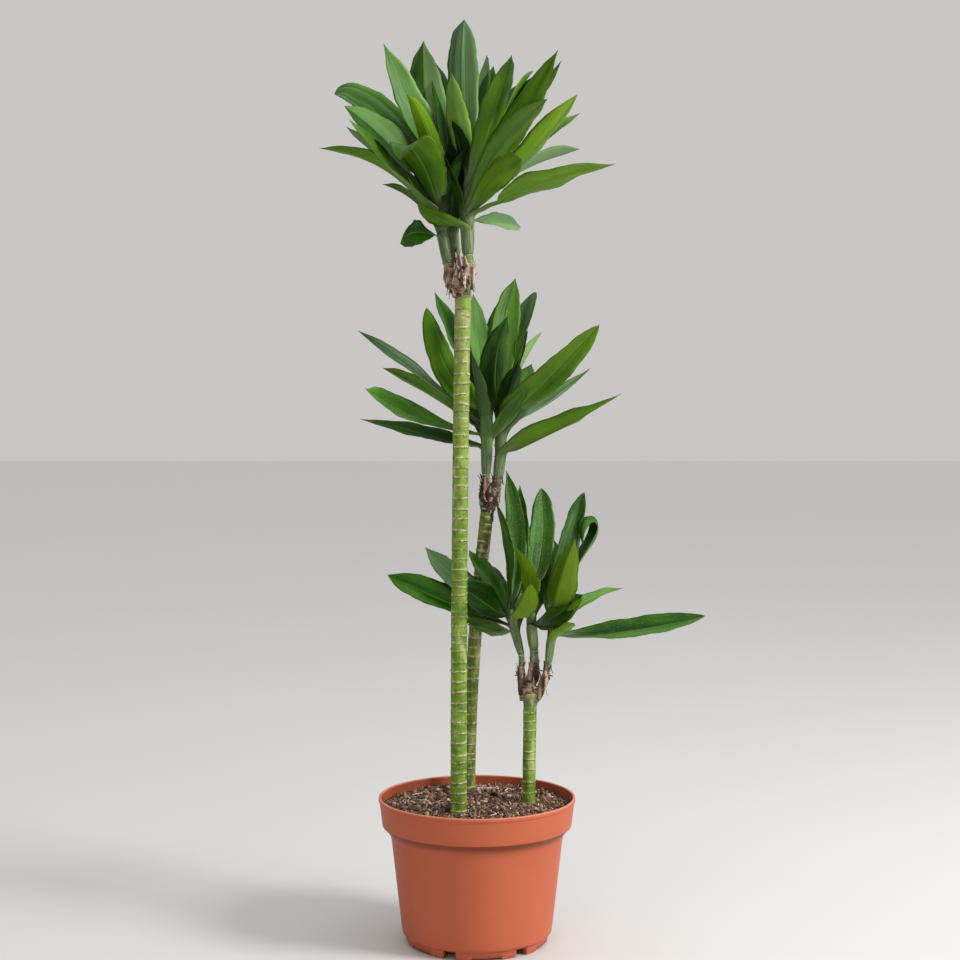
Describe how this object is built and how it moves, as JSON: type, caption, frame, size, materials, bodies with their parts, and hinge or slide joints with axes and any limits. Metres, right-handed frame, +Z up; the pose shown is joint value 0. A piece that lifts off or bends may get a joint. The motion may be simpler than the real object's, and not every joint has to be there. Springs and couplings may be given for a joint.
{
  "type": "potted dracaena",
  "caption": "House plant: bare green ringed canes of staggered height topped by tufts of broad pointed leaves, standing in soil in a plain terracotta-coloured nursery pot.",
  "frame": {"origin": "middle of the pot's flat underside, on the surface that the pot stands on", "axes": "+Z up along the pot's axis; the side seen from the front faces -Y, with the shortest cane towards +X"},
  "size_m": [0.4094, 0.3178, 0.9781],
  "materials": {
    "pot_plastic": "matte",
    "potting_soil": "matte",
    "cane_bark": "satin",
    "shoot_bark": "satin",
    "leaf_tall": "satin",
    "leaf_middle": "satin",
    "leaf_short": "satin"
  },
  "bodies": {
    "root": {"pot": "pot_plastic", "soil": "potting_soil", "cane_tall": "cane_bark", "cane_middle": "cane_bark", "cane_short": "cane_bark", "shoot_tall_left": "shoot_bark", "shoot_tall_back": "shoot_bark", "shoot_tall_right": "shoot_bark", "shoot_middle_left": "shoot_bark", "shoot_middle_right": "shoot_bark", "shoot_short_left": "shoot_bark", "shoot_short_middle": "shoot_bark", "shoot_short_right": "shoot_bark", "leaf_tall_01": "leaf_tall", "leaf_tall_02": "leaf_tall", "leaf_tall_03": "leaf_tall", "leaf_tall_04": "leaf_tall", "leaf_tall_05": "leaf_tall", "leaf_tall_06": "leaf_tall", "leaf_tall_07": "leaf_tall", "leaf_tall_08": "leaf_tall", "leaf_tall_09": "leaf_tall", "leaf_tall_10": "leaf_tall", "leaf_tall_11": "leaf_tall", "leaf_tall_12": "leaf_tall", "leaf_tall_13": "leaf_tall", "leaf_tall_14": "leaf_tall", "leaf_tall_15": "leaf_tall", "leaf_tall_16": "leaf_tall", "leaf_tall_17": "leaf_tall", "leaf_tall_18": "leaf_tall", "leaf_tall_19": "leaf_tall", "leaf_middle_01": "leaf_middle", "leaf_middle_02": "leaf_middle", "leaf_middle_03": "leaf_middle", "leaf_middle_04": "leaf_middle", "leaf_middle_05": "leaf_middle", "leaf_middle_06": "leaf_middle", "leaf_middle_07": "leaf_middle", "leaf_middle_08": "leaf_middle", "leaf_middle_09": "leaf_middle", "leaf_middle_10": "leaf_middle", "leaf_middle_11": "leaf_middle", "leaf_middle_12": "leaf_middle", "leaf_middle_13": "leaf_middle", "leaf_middle_14": "leaf_middle", "leaf_short_01": "leaf_short", "leaf_short_02": "leaf_short", "leaf_short_03": "leaf_short", "leaf_short_04": "leaf_short", "leaf_short_05": "leaf_short", "leaf_short_06": "leaf_short", "leaf_short_07": "leaf_short", "leaf_short_08": "leaf_short", "leaf_short_09": "leaf_short", "leaf_short_10": "leaf_short", "leaf_short_11": "leaf_short", "leaf_short_12": "leaf_short", "leaf_short_13": "leaf_short", "leaf_short_14": "leaf_short"}
  },
  "joints": []
}
